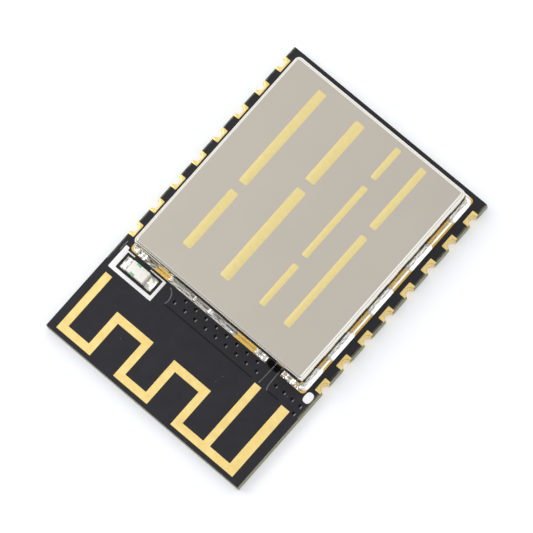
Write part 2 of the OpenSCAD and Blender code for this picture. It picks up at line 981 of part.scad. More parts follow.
// The ceramic bodies of chip parts of one kind
module chip_bodies(places, h) {
    for (p = places)
        under_can(p)
            rotate([0, 0, p[2]])
                translate([0, 0, cap_t])
                    linear_extrude(h - 2 * cap_t)
                        plate(chip_l - 2 * cap_t, chip_w - 2 * cap_t);
}

// The end caps of chip parts of one kind, each a thin cup over the end of its body
module chip_caps(places, h) {
    for (p = places, turn = [0, 180])
        under_can(p)
            rotate([0, 0, p[2] + turn])
                difference() {
                    translate([chip_l / 2 - cap_l, -chip_w / 2, 0])
                        cube([cap_l, chip_w, h]);
                    translate([0, -chip_w / 2 + cap_t, cap_t])
                        cube([chip_l / 2 - cap_t, chip_w - 2 * cap_t, h - 2 * cap_t]);
                }
}

module capacitor_bodies() {
    color("tan")
        chip_bodies(capacitor_places, capacitor_h);
}

module capacitor_caps() {
    color("silver")
        chip_caps(capacitor_places, capacitor_h);
}

module resistor_bodies() {
    color([0.1, 0.1, 0.1])
        chip_bodies(resistor_places, resistor_h);
}

module resistor_caps() {
    color("silver")
        chip_caps(resistor_places, resistor_h);
}

module inductor_bodies() {
    color("lightsteelblue")
        chip_bodies(inductor_places, inductor_h);
}

module inductor_caps() {
    color("silver")
        chip_caps(inductor_places, inductor_h);
}

// ---- Nodes ----

board_core();
top_solder_mask();
bottom_solder_mask();
antenna_trace();
ground_ring();
component_lands();
via_barrels();
shield_can();
shield_solder();
led_base();
led_lens();
led_terminals();
led_solder();
led_marks();
led_frame_print();
first_contact_dot();
processor_body();
processor_pads();
memory_body();
memory_leads();
crystal_base();
crystal_lid();
crystal_pads();
capacitor_bodies();
capacitor_caps();
resistor_bodies();
resistor_caps();
inductor_bodies();
inductor_caps();
for (side = SIDES, i = [1 : contact_count])
    edge_contact(side[1], i);
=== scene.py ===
import math

import bmesh
import bpy
from mathutils import Matrix, Vector, noise
from mathutils.bvhtree import BVHTree


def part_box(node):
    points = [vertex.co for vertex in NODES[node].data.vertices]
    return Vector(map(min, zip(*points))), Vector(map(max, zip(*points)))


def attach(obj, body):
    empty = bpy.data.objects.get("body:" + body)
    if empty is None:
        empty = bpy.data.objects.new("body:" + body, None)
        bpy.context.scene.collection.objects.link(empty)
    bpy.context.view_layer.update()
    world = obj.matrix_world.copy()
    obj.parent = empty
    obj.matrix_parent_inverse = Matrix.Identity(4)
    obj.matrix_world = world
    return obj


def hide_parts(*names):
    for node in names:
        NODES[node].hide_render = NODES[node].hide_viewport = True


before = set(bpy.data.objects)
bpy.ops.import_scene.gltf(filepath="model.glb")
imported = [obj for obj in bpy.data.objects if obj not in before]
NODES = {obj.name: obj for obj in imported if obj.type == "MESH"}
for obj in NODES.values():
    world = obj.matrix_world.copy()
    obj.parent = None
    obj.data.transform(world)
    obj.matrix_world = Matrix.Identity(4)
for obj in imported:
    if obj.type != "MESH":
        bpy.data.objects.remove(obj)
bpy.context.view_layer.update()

MM = 0.001

# ---------------------------------------------------------------- places read from the frame
BOARD_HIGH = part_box("board_core")[1]
BOARD_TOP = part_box("top_solder_mask")[1].z
CAN_LOW, CAN_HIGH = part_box("shield_can")
RING_LOW, RING_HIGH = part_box("ground_ring")
SAME_SPOT = 0.0005 * MM       # vertices of a CAD mesh that are closer than this are one


def parts_of(name):
    """The (low, high) corners of each separate solid in a CAD node, from its mesh."""
    bm = bmesh.new()
    bm.from_mesh(NODES[name].data)
    bmesh.ops.remove_doubles(bm, verts=bm.verts, dist=SAME_SPOT)
    left = set(bm.verts)
    found = []
    while left:
        reached = {left.pop()}
        newest = set(reached)
        while newest:
            newest = {edge.other_vert(vert) for vert in newest for edge in vert.link_edges} - reached
            reached |= newest
        left -= reached
        spots = [NODES[name].matrix_world @ vert.co for vert in reached]
        low = Vector([min(spot[k] for spot in spots) for k in range(3)])
        high = Vector([max(spot[k] for spot in spots) for k in range(3)])
        found.append((low, high))
    bm.free()
    return sorted(found, key=lambda corners: tuple(corners[0]))


# ---------------------------------------------------------------- the view
VIEW_TILT = math.radians(14.85)       # the camera's lean from straight down
VIEW_TURN = math.radians(-119.4)      # which way it leans
VIEW_ROLL = math.radians(-19.85)      # its turn about its own line of sight
VIEW_TARGET = Vector((-0.24, 0.169, 1.5)) * MM
VIEW_DISTANCE = 300 * MM
VIEW_LENS = 325.7                     # focal length in mm,
VIEW_SENSOR = 36                      # on a sensor this wide


def add_camera():
    """A long lens, almost straight above the board."""
    data = bpy.data.cameras.new("camera")
    data.sensor_width = VIEW_SENSOR
    data.lens = VIEW_LENS
    turn = Matrix.Rotation(VIEW_TURN, 4, "Z") @ Matrix.Rotation(VIEW_TILT, 4, "X")
    turn = turn @ Matrix.Rotation(VIEW_ROLL, 4, "Z")
    camera = bpy.data.objects.new("camera", data)
    back = Matrix.Translation((0, 0, VIEW_DISTANCE))
    camera.matrix_world = Matrix.Translation(VIEW_TARGET) @ turn @ back
    bpy.context.scene.collection.objects.link(camera)
    bpy.context.scene.camera = camera


# ---------------------------------------------------------------- node helpers
NOISE_SPAN = (0.3, 0.7)       # nearly all of a noise lies between these,
PATCH_SPAN = (0.35, 0.65)     # and most of it between these
SPOT_CORE = 0.7               # how much of a spot's radius is full


class Shader:
    """A new material with a Principled shader and short calls for the nodes that feed it."""

    def __init__(self, name, **constants):
        self.material = bpy.data.materials.new(name)
        self.material.use_nodes = True
        self.tree = self.material.node_tree
        self.surface = self.tree.nodes["Principled BSDF"]
        for socket, value in constants.items():
            self.surface.inputs[socket.replace("_", " ")].default_value = value
        self.place = self.tree.nodes.new("ShaderNodeTexCoord").outputs["Object"]

    def node(self, kind, **inputs):
        made = self.tree.nodes.new(kind)
        for socket, value in inputs.items():
            self.feed(made.inputs[socket.replace("_", " ")], value)
        return made

    def feed(self, socket, value):
        if isinstance(value, bpy.types.NodeSocket):
            self.tree.links.new(value, socket)
        else:
            socket.default_value = value

    def noise(self, size_mm, detail=3.0, stretch=(1, 1, 1)):
        """Noise from 0 to 1 whose lumps are about size_mm across, times stretch along each axis."""
        scale = [1 / (size_mm * MM * s) for s in stretch]
        scaled = self.node("ShaderNodeMapping", Vector=self.place, Scale=scale)
        made = self.node("ShaderNodeTexNoise", Vector=scaled.outputs[0], Scale=1.0, Detail=detail)
        return made.outputs["Fac"]

    def spots(self, size_mm, share):
        """1 in small round spots, one in each cell of size_mm, whose radius is share of it, and 0 between."""
        cells = self.tree.nodes.new("ShaderNodeTexVoronoi")
        cells.inputs["Scale"].default_value = 1 / (size_mm * MM)
        self.feed(cells.inputs["Vector"], self.place)
        return self.ramp(cells.outputs["Distance"], share * SPOT_CORE, share, 1.0, 0.0)

    def ramp(self, value, low, high, at_low=0.0, at_high=1.0):
        """value carried from the span low..high to at_low..at_high, and held at the ends."""
        return self.node(
            "ShaderNodeMapRange", Value=value, From_Min=low, From_Max=high, To_Min=at_low, To_Max=at_high
        ).outputs[0]

    def math(self, operation, a, b=0.0):
        made = self.tree.nodes.new("ShaderNodeMath")
        made.operation = operation
        self.feed(made.inputs[0], a)
        self.feed(made.inputs[1], b)
        return made.outputs[0]

    def blend(self, share, first, second):
        """A colour between first at share 0 and second at share 1."""
        made = self.tree.nodes.new("ShaderNodeMix")
        made.data_type = "RGBA"
        self.feed(made.inputs["Factor"], share)
        self.feed(made.inputs[6], colour(first))    # inputs 6 and 7 and output 2 are
        self.feed(made.inputs[7], colour(second))   # the Mix node's colour sockets
        return made.outputs[2]

    def facing(self, axis):
        """How far the surface faces along an axis, 0 for X, 1 for Y and 2 for Z, from -1 to 1."""
        normal = self.tree.nodes.new("ShaderNodeTexCoord").outputs["Normal"]
        return self.node("ShaderNodeSeparateXYZ", Vector=normal).outputs[axis]

    def level(self):
        """1 where the surface lies flat, facing up or down, and 0 where it is upright."""
        return self.math("ABSOLUTE", self.facing(2))

    def bump(self, height, depth_mm, strength):
        """Tilts the surface as if height, from 0 to 1, stood depth_mm high, by a share of strength."""
        made = self.node("ShaderNodeBump", Height=height, Distance=depth_mm * MM, Strength=strength)
        self.set(Normal=made.outputs[0])

    def set(self, **inputs):
        for socket, value in inputs.items():
            self.feed(self.surface.inputs[socket.replace("_", " ")], value)

    def mottle(self, size_mm, first, second, **options):
        """Gives the surface a colour between two, in patches about size_mm across."""
        self.set(Base_Color=self.blend(self.noise(size_mm, **options), first, second))

    def roughen(self, size_mm, least, most, **options):
        """Gives the surface a roughness between two, in patches about size_mm across."""
        self.set(Roughness=self.ramp(self.noise(size_mm, **options), *NOISE_SPAN, least, most))


def colour(value):
    """A colour as Blender wants it: a node's output stays, and red, green, blue from 0 to 1 gain an alpha."""
    return value if isinstance(value, bpy.types.NodeSocket) else (*value, 1.0)


# ---------------------------------------------------------------- materials
def make_mask():
    """Black solder mask, half gloss, greyer where it thins over an edge, with specks of dust."""
    s = Shader("solder_mask", Specular_IOR_Level=0.37)
    dust = s.spots(size_mm=0.85, share=0.045)
    mottled = s.ramp(s.noise(0.9, detail=4), 0.35, 0.68)
    body = s.blend(mottled, (0.0045, 0.0042, 0.0085), (0.0085, 0.0072, 0.0145))
    thinned = s.ramp(s.level(), 0.55, 0.96, at_low=1, at_high=0)
    body = s.blend(thinned, body, (0.13, 0.13, 0.135))
    s.set(Base_Color=s.blend(dust, body, (0.10, 0.10, 0.10)))
    s.roughen(0.6, 0.34, 0.46)
    s.bump(s.noise(0.12, detail=2), depth_mm=0.004, strength=0.5)
    return s.material


def make_shade_mask(name, gloss):
    """The mask painted black and dull where it sinks into a hole or steps down from the copper: painted
    shade.
    """
    s = Shader(name, Specular_IOR_Level=gloss)
    s.mottle(0.3, (0.001, 0.001, 0.0015), (0.003, 0.003, 0.004))
    s.roughen(0.1, 0.5, 0.7)
    s.bump(s.noise(0.1), depth_mm=0.004, strength=0.5)
    return s.material


def make_gold(name="gold_plate", first=(0.88, 0.66, 0.245), second=(0.95, 0.745, 0.31)):
    """Gold flash over nickel: two close yellows with a soft sheen, and on steep edges a brighter one, a
    painted highlight.
    """
    s = Shader(name, Metallic=1.0)
    flat = s.blend(s.ramp(s.noise(0.8), *PATCH_SPAN), first, second)
    # painted highlight: steep faces, such as the half holes' barrels, get a paler, brighter gold
    steep = s.ramp(s.level(), 0.2, 0.8, at_low=1, at_high=0)
    s.set(Base_Color=s.blend(steep, flat, (0.95, 0.74, 0.33)))
    s.roughen(0.25, 0.30, 0.42)
    s.bump(s.noise(0.08, detail=4), depth_mm=0.003, strength=0.6)
    return s.material


def make_copper():
    """Plated copper inside the vias and under the parts: pinkish, dull."""
    s = Shader("copper_plate", Metallic=1.0)
    s.mottle(0.5, (0.80, 0.42, 0.28), (0.88, 0.55, 0.38))
    s.roughen(0.2, 0.35, 0.5)
    s.bump(s.noise(0.06), depth_mm=0.003, strength=0.5)
    return s.material


def make_laminate():
    """Glass cloth in olive resin, seen at the edges: thin layers and fibre ends, smeared dark at the top."""
    layers_share = 0.55
    ragged_h = 0.12 * MM
    smear_h = 0.08 * MM
    s = Shader("laminate", Specular_IOR_Level=0.35)
    layers = s.noise(0.1, stretch=(6, 6, 1))
    fibres = s.noise(0.05, detail=4)
    layered = s.math("MULTIPLY", layers, layers_share)
    mixed = s.math("ADD", layered, s.math("MULTIPLY", fibres, 1 - layers_share))
    body = s.blend(s.ramp(mixed, *PATCH_SPAN), (0.25, 0.24, 0.145), (0.41, 0.39, 0.25))
    level = s.node("ShaderNodeSeparateXYZ", Vector=s.place).outputs[2]
    ragged = s.math("ADD", level, s.math("MULTIPLY", s.noise(0.4, detail=4), ragged_h))
    smear = s.ramp(ragged, BOARD_HIGH.z, BOARD_HIGH.z + smear_h)
    s.set(Base_Color=s.blend(smear, body, (0.05, 0.05, 0.04)))
    s.set(Roughness=s.ramp(fibres, *NOISE_SPAN, 0.6, 0.8))
    s.bump(mixed, depth_mm=0.02, strength=0.8)
    return s.material


def make_shield():
    """Nickel silver sheet: a satin lid, and bends and walls that the drawing tool has polished, painted paler
    than the lid as a painted highlight.
    """
    s = Shader("shield_metal", Metallic=1.0)
    flat = s.ramp(s.facing(2), 0.97, 0.998)
    satin = s.blend(s.noise(4.0), (0.505, 0.465, 0.41), (0.545, 0.505, 0.445))
    # painted highlight: the bends and walls get a much paler colour than the satin lid
    s.set(Base_Color=s.blend(flat, (0.83, 0.80, 0.725), satin))
    grain = s.noise(0.05, detail=3)
    dullness = s.ramp(flat, 0, 1, at_low=0.09, at_high=0.34)
    s.set(Roughness=s.math("ADD", dullness, s.ramp(grain, *NOISE_SPAN, 0.0, 0.06)))
    s.bump(s.math("MULTIPLY", grain, flat), depth_mm=0.002, strength=0.4)
    return s.material


def make_solder():
    """Bright solder with faint ripples, and with dull, warmer streaks on the slopes that face the antenna."""
    s = Shader("solder", Metallic=1.0)
    front = s.ramp(s.facing(1), 0.05, 0.35)
    streaks = s.ramp(s.noise(0.16, detail=4, stretch=(5, 1, 1)), 0.42, 0.62)
    dull = s.math("MULTIPLY", front, streaks)
    s.set(Base_Color=s.blend(dull, (0.96, 0.96, 0.94), (0.88, 0.835, 0.73)))
    s.set(Roughness=s.ramp(dull, 0, 1, at_low=0.12, at_high=0.42))
    s.bump(s.noise(0.12, detail=3), depth_mm=0.008, strength=0.08)
    return s.material


def make_tin():
    """Matt tin on terminals and leads."""
    s = Shader("tin_plate", Metallic=1.0)
    s.mottle(0.2, (0.72, 0.71, 0.69), (0.82, 0.81, 0.79))
    s.roughen(0.1, 0.3, 0.45)
    s.bump(s.noise(0.05), depth_mm=0.003, strength=0.6)
    return s.material


def make_crystal_metal():
    """The crystal's lid: brushed, bright."""
    s = Shader("crystal_metal", Metallic=1.0)
    s.mottle(0.4, (0.66, 0.64, 0.60), (0.76, 0.74, 0.70))
    s.roughen(0.15, 0.22, 0.36, stretch=(1, 8, 1))
    s.bump(s.noise(0.04, stretch=(1, 12, 1)), depth_mm=0.002, strength=0.6)
    return s.material


def make_matt(name, dark, light, grain_mm, roughness=(0.5, 0.65)):
    """A plain moulded or fired body between two close colours, with a fine grain."""
    s = Shader(name)
    s.set(Base_Color=s.blend(s.ramp(s.noise(grain_mm * 6), *PATCH_SPAN), dark, light))
    s.roughen(grain_mm, *roughness)
    s.bump(s.noise(grain_mm, detail=4), depth_mm=0.006, strength=0.7)
    return s.material


def make_terminal():
    """Copper terminals on the LED, tinned thinly: a pale pinkish grey."""
    s = Shader("led_terminal", Metallic=0.6)
    s.mottle(0.2, (0.50, 0.43, 0.36), (0.63, 0.56, 0.48))
    s.roughen(0.1, 0.35, 0.5)
    s.bump(s.noise(0.06), depth_mm=0.004, strength=0.6)
    return s.material


def make_lid_print():
    """Marks etched into the lid: a matt straw gold."""
    s = Shader("lid_print", Metallic=0.35)
    s.mottle(0.3, (0.72, 0.59, 0.23), (0.81, 0.69, 0.33), detail=4)
    s.roughen(0.08, 0.45, 0.6)
    s.bump(s.noise(0.05), depth_mm=0.003, strength=0.6)
    return s.material


def make_lens():
    """Milky resin over the LED: pale, a little light passes into it."""
    s = Shader("led_lens", Subsurface_Weight=0.15, Subsurface_Scale=0.15 * MM, Specular_IOR_Level=0.5)
    s.mottle(0.5, (0.96, 0.93, 0.85), (0.99, 0.97, 0.91))
    s.roughen(0.2, 0.22, 0.34)
    s.bump(s.noise(0.15), depth_mm=0.006, strength=0.5)
    return s.material


def make_print():
    """White legend ink: matt, thick, slightly uneven."""
    s = Shader("white_print", Specular_IOR_Level=0.3)
    s.mottle(0.4, (0.93, 0.93, 0.94), (0.98, 0.98, 0.985))
    s.roughen(0.1, 0.5, 0.65)
    s.bump(s.noise(0.09, detail=3), depth_mm=0.006, strength=0.7)
    return s.material


def make_materials():
    """The finish of each slot in the record."""
    return {
        "laminate": make_laminate(),
        "solder_mask": make_mask(),
        "gold_plate": make_gold(),
        "copper_plate": make_copper(),
        "shield_metal": make_shield(),
        "solder": make_solder(),
        "led_white": make_matt("led_white", (0.70, 0.67, 0.58), (0.80, 0.78, 0.70), 0.06, (0.4, 0.55)),
        "led_cream": make_lens(),
        "led_green": make_matt("led_green", (0.16, 0.60, 0.30), (0.26, 0.72, 0.40), 0.05, (0.4, 0.5)),
        "white_print": make_print(),
        "chip_mould": make_matt("chip_mould", (0.012, 0.012, 0.013), (0.024, 0.024, 0.025), 0.05),
        "tin_plate": make_tin(),
        "dark_ceramic": make_matt("dark_ceramic", (0.05, 0.045, 0.04), (0.08, 0.075, 0.07), 0.06),
        "crystal_metal": make_crystal_metal(),
        "tan_ceramic": make_matt("tan_ceramic", (0.30, 0.20, 0.12), (0.38, 0.27, 0.17), 0.06),
        "resistor_glaze": make_matt(
            "resistor_glaze", (0.012, 0.012, 0.014), (0.03, 0.03, 0.032), 0.06, (0.2, 0.3)
        ),
        "blue_ceramic": make_matt("blue_ceramic", (0.05, 0.09, 0.20), (0.08, 0.13, 0.27), 0.06),
    }


MATERIALS = make_materials()
TERMINAL = make_terminal()
LID_PRINT = make_lid_print()
# painted shade: the ground ring's gold is darker than the antenna's, for the can's shade and reflection on it
SHADED_RING_GOLD = make_gold("ring_gold", (0.72, 0.46, 0.115), (0.82, 0.56, 0.16))
# painted highlight: a pale matt grey for the rim beside each via
RIM_HIGHLIGHT_MASK = make_matt("rim_highlight_mask", (0.18, 0.18, 0.19), (0.30, 0.30, 0.32), 0.1, (0.35, 0.5))
# painted highlight: the ridges over buried tracks are painted a pale grey
RIDGE_HIGHLIGHT_MASK = make_matt("ridge_highlight_mask", (0.10, 0.10, 0.105), (0.17, 0.165, 0.17), 0.1, (0.35, 0.5))
# painted shade: black, dull mask for the via pits, the can's notch and the copper's edge
SHADE_MASK = make_shade_mask("shade_mask", 0.08)
STEP_SHADE_MASK = make_shade_mask("step_shade_mask", 0.27)


def dress_cad_nodes():
    """Gives every CAD node its record slot's finish, and the ground ring a darker gold, painted shade from
    the can beside it.
    """
    for name, node in NODES.items():
        for held in node.material_slots:
            slot = held.material.name.split(".")[0]
            held.material = SHADED_RING_GOLD if name == "ground_ring" else MATERIALS[slot]


# ---------------------------------------------------------------- mesh helpers
SHARP_ANGLE = math.radians(38)
MOST_ROUNDED = 0.45           # a rounded corner takes no more than this share of each side
EDGE_MIDDLE = 0.3             # the middle of a rounded edge is this share of its size in from both faces
DOME_SIDES = 16
DOME_PROFILE = ((1, 0), (0.94, 0.45), (0.82, 0.75), (0.6, 0.92), (0.3, 0.99), (0.02, 1))  # width, height
EDGE_SOFTNESS = 0.012 * MM


def add_piece(name, bm, slot, *replaced, finish=None):
    """Makes an object of bm, in its slot's finish or another, and hides the nodes that it replaces."""
    mesh = bpy.data.meshes.new(name)
    bmesh.ops.recalc_face_normals(bm, faces=bm.faces)
    bm.to_mesh(mesh)
    bm.free()
    mesh.shade_smooth()
    mesh.set_sharp_from_angle(angle=SHARP_ANGLE)
    mesh.materials.append(finish or MATERIALS[slot])
    piece = bpy.data.objects.new(name, mesh)
    bpy.context.scene.collection.objects.link(piece)
    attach(piece, "root")
    if replaced:
        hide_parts(*replaced)
    return piece


def loft(bm, rings):
    """Skins a row of closed rings that have as many points each, and caps both ends."""
    made = [[bm.verts.new(point) for point in ring] for ring in rings]
    for first, second in zip(made, made[1:]):
        count = len(first)
        for i in range(count):
            j = (i + 1) % count
            bm.faces.new((first[i], first[j], second[j], second[i]))
    bm.faces.new(reversed(made[0]))
    bm.faces.new(made[-1])


def rounded_block(bm, low, high, radius, segments=3):
    """A block between two corners, with every edge rounded."""
    low, high = Vector(low), Vector(high)
    made = bmesh.ops.create_cube(bm, size=1.0)["verts"]
    bmesh.ops.scale(bm, vec=high - low, verts=made)
    bmesh.ops.translate(bm, vec=(low + high) / 2, verts=made)
    edges = {edge for vert in made for edge in vert.link_edges}
    bmesh.ops.bevel(bm, geom=list(edges), offset=radius, segments=segments, profile=0.5, affect="EDGES")


def arc(centre, radius, start_deg, end_deg, steps):
    """Points (u, v) on an arc, both ends included."""
    angles = [math.radians(start_deg + (end_deg - start_deg) * i / steps) for i in range(steps + 1)]
    return [(centre[0] + radius * math.cos(a), centre[1] + radius * math.sin(a)) for a in angles]


def rounded_outline(low, high, radius, step, corner_steps):
    """The outline of a rectangle with rounded corners, anticlockwise from its lower right corner.

    Each point is given by the centre that it turns about and the direction that it faces, so that the
    point set in by d is centre + facing * (radius - d).
    """
    corners = [
        (high.x, low.y, -1, 1, 270), (high.x, high.y, -1, -1, 0),
        (low.x, high.y, 1, -1, 90), (low.x, low.y, 1, 1, 180),
    ]
    centres = [Vector((x + radius * sx, y + radius * sy)) for x, y, sx, sy, _ in corners]
    points = []
    for k, centre in enumerate(centres):
        start = corners[k][4]
        for i in range(corner_steps):
            a = math.radians(start + 90 * i / corner_steps)
            points.append((centre, Vector((math.cos(a), math.sin(a)))))
        following = centres[(k + 1) % 4]
        a = math.radians(start + 90)
        facing = Vector((math.cos(a), math.sin(a)))
        count = max(1, round((following - centre).length / step))
        for i in range(count):
            points.append((centre.lerp(following, i / count), facing))
    return points


def ring_at(outline, radius, depth, z):
    """The outline's points set in by depth, at height z."""
    return [(*(centre + facing * (radius - depth)), z) for centre, facing in outline]


def softened(corners, radius, steps=5):
    """A closed outline with its corners rounded, each by a curve that begins radius before the corner."""
    points = []
    for k, corner in enumerate(corners):
        before, after = corners[k - 1], corners[(k + 1) % len(corners)]
        ends = []
        for other in (before, after):
            length = (other - corner).length
            ends.append(corner.lerp(other, min(radius, MOST_ROUNDED * length) / length))
        for i in range(steps + 1):
            t = i / steps
            points.append(ends[0] * (1 - t) ** 2 + corner * 2 * t * (1 - t) + ends[1] * t ** 2)
    return points


def inset(outline, depth):
    """An anticlockwise outline moved inwards by depth."""
    moved = []
    for k, point in enumerate(outline):
        along = outline[(k + 1) % len(outline)] - outline[k - 1]
        moved.append(point + Vector((-along.y, along.x)).normalized() * depth)
    return moved


def flat_shape(bm, outline, low, high, edge):
    """A plate with an anticlockwise outline, from low to high, with its upper edge rounded off by edge."""
    levels = [(0, low), (0, high - edge), (EDGE_MIDDLE * edge, high - EDGE_MIDDLE * edge), (edge, high)]
    loft(bm, [[(*point, z) for point in inset(outline, depth)] for depth, z in levels])


def box_outline(low, high):
    """The four corners of a rectangle, anticlockwise."""
    return [Vector(low), Vector((high[0], low[1])), Vector(high), Vector((low[0], high[1]))]


def dome(bm, middle, width, length, height):
    """A low oval dome on the board."""
    rings = []
    for share, level in DOME_PROFILE:
        ring = []
        for u, v in arc((0, 0), share / 2, 0, 360 - 360 / DOME_SIDES, DOME_SIDES - 1):
            ring.append((middle.x + u * width, middle.y + v * length, BOARD_TOP + level * height))
        rings.append(ring)
    loft(bm, rings)


def soften_edges(name):
    """Rounds the sharp edges of a carried-over node, so that they catch the light."""
    weld = NODES[name].modifiers.new("weld", "WELD")
    weld.merge_threshold = SAME_SPOT
    bevel = NODES[name].modifiers.new("bevel", "BEVEL")
    bevel.width = EDGE_SOFTNESS
    bevel.segments = 2
    bevel.limit_method = "ANGLE"
    bevel.angle_limit = SHARP_ANGLE


# ---------------------------------------------------------------- shield can
CAN_CORNER_R = 0.36 * MM
CAN_BEND_R = 0.28 * MM        # the bend round the lid, seen from above,
CAN_BEND_H = 0.55 * MM        # and how far down it reaches
CAN_SHEET = 0.2 * MM
CAN_LID_IN = 0.04 * MM        # how far inside the bend the faces that close the lid begin
CAN_STEP = 1 * MM             # between two points on a straight side
CAN_CORNER_STEPS = 12
CAN_BEND_STEPS = 12
FEED_NOTCH_W = 1.1 * MM
FEED_NOTCH_H = 0.3 * MM
FEED_NOTCH_R = 0.05 * MM
GROUND_LEG_IN = 0.34 * MM     # from the antenna's -X end to the middle of its ground leg,
FEED_SPACING = 2.27 * MM      # and from there to the middle of its feed line
FEED_X = (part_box("antenna_trace")[0].x + GROUND_LEG_IN) + FEED_SPACING


def shield_can():
    """The drawn can: walls, rounded bends and a flat lid, all one sheet, with the notch for the feed line."""
    outline = rounded_outline(CAN_LOW, CAN_HIGH, CAN_CORNER_R, CAN_STEP, CAN_CORNER_STEPS)
    top, foot, wall = CAN_HIGH.z, CAN_LOW.z, CAN_HIGH.y
    outside = [(0, foot), (0, (foot + top) / 2)]
    for u, v in arc((0, 0), 1, 0, 90, CAN_BEND_STEPS):
        outside.append((CAN_BEND_R * (1 - u), top - CAN_BEND_H * (1 - v)))
    inside = [(CAN_SHEET, foot), (CAN_SHEET, (foot + top) / 2)]
    for u, v in arc((0, 0), CAN_BEND_R - CAN_SHEET, 0, 90, CAN_BEND_STEPS // 2):
        inside.append((CAN_BEND_R - u, top - CAN_BEND_R + v))
    lid_rim = CAN_BEND_R + CAN_LID_IN
    section = [(lid_rim, top - CAN_SHEET), *reversed(inside), *outside, (lid_rim, top)]
    bm = bmesh.new()
    loft(bm, [ring_at(outline, CAN_CORNER_R, depth, z) for depth, z in section])
    piece = add_piece("drawn_can", bm, "shield_metal", "shield_can")
    notch = bmesh.new()
    notch_low = (FEED_X - FEED_NOTCH_W / 2, wall - 2 * CAN_SHEET, foot - FEED_NOTCH_H)
    notch_high = (FEED_X + FEED_NOTCH_W / 2, wall + CAN_SHEET, foot + FEED_NOTCH_H)
    rounded_block(notch, notch_low, notch_high, FEED_NOTCH_R)
    cut_away(piece, notch)


def cut_away(piece, bm):
    """Takes bm out of the piece's mesh."""
    mesh = bpy.data.meshes.new("cutter")
    bm.to_mesh(mesh)
    bm.free()
    cutter = bpy.data.objects.new("cutter", mesh)
    bpy.context.scene.collection.objects.link(cutter)
    modifier = piece.modifiers.new("cut", "BOOLEAN")
    modifier.operation = "DIFFERENCE"
    modifier.object = cutter
    modifier.solver = "EXACT"
    bpy.context.view_layer.update()
    cut = bpy.data.meshes.new_from_object(piece.evaluated_get(bpy.context.evaluated_depsgraph_get()))
    piece.modifiers.clear()
    piece.data = cut
    bpy.data.objects.remove(cutter)


# ---------------------------------------------------------------- solder round the can
SOLDER_STEP = 0.04 * MM
SOLDER_ROWS = 12
SOLDER_CORNER_STEPS = 16
SOLDER_REACH = CAN_LOW.x - RING_LOW.x  # from the can's wall to the ring's outer edge
BEAD_W = 0.105 * MM           # the thin bead between deposits, beside the can,
BEAD_H = 0.075 * MM
FRONT_BEAD_W = 0.035 * MM     # and on the antenna's side
FRONT_BEAD_H = 0.04 * MM
DEPOSIT_H = 0.16 * MM         # how high a deposit's slope is
FILM_W = 0.014 * MM           # the slope ends this far from the wall, and from there a thin film climbs
FILM_RISE = 1.7               # to this many times the slope's height
PROBE_OUT = 0.05 * MM         # the CAD solder is measured this far from the wall:
BARE_H = 0.01 * MM            # if lower than this, there is none,
DEPOSIT_MARK_H = 0.13 * MM    # and if higher than this, it is a deposit
DEPOSIT_BLUR = 2              # steps by which a deposit's end is spread out both ways
ANTENNA_SIDE = 0.7            # what faces +Y more than this is on the antenna's side
SIDE_ROUGH = 0.10             # how lumpy the solder is beside the can,
FRONT_ROUGH = 0.24            # on the antenna's side,
CORNER_ROUGH = 1.1            # and at that side's two ends and beside the feed line,
FRONT_ENDS = (-3, 6)          # which lie outside these X, in mm
LUMP_LONG = 0.8               # lengths of the lumps along the can, in mm
LUMP_MIDDLE = 0.7
LUMP_SHORT = 0.35
LUMP_FINE = 0.27
LUMP_ROWS = 1.8               # lumps from the slope's toe to its top
LUMP_H = 0.12 * MM
LONG_WAVES = 0.30             # how much each kind of lump changes the slope's height,
SHORT_WAVES = 0.25
BEAD_WAVES = 0.2              # the bead's width
DEPOSIT_WAVES = 0.25          # and the deposit's width
HOLLOW = 1.02                 # the power of the slope's curve: above 1 it is hollow,
HOLLOW_ROUGH = 0.12           # more so where it is rough,
HOLLOW_WAVES = 0.2            # and it varies by this
DROPS = (                     # bright drops on the antenna's side: their X and width, in mm
    (-5.42, 0.20), (-3.22, 0.22), (0.65, 0.42), (1.95, 0.22), (3.95, 0.3), (6.7, 0.3),
)
DROP_H = 0.2 * MM
DROP_OUT = 0.45               # their middle's distance from the wall,
DROP_L = 0.95                 # and their length, both as a share of SOLDER_REACH


def wander(x, y=0.0, z=0.0):
    """Smooth noise from -1 to 1, with lumps one unit across. Another y or z gives another run along x."""
    return noise.noise((x, y, z))


def cad_solder_height(tree, point):
    """How high the CAD solder stands over the board at a point, or 0 where there is none."""
    hit = tree.ray_cast(Vector((point.x, point.y, CAN_HIGH.z)), Vector((0, 0, -1)))[0]
    return hit.z - BOARD_TOP if hit else 0.0


def smoothed(values, reach):
    """Each value's average with its neighbours up to reach away."""
    windows = [values[max(0, i - reach):i + reach + 1] for i in range(len(values))]
    return [sum(window) / len(window) for window in windows]


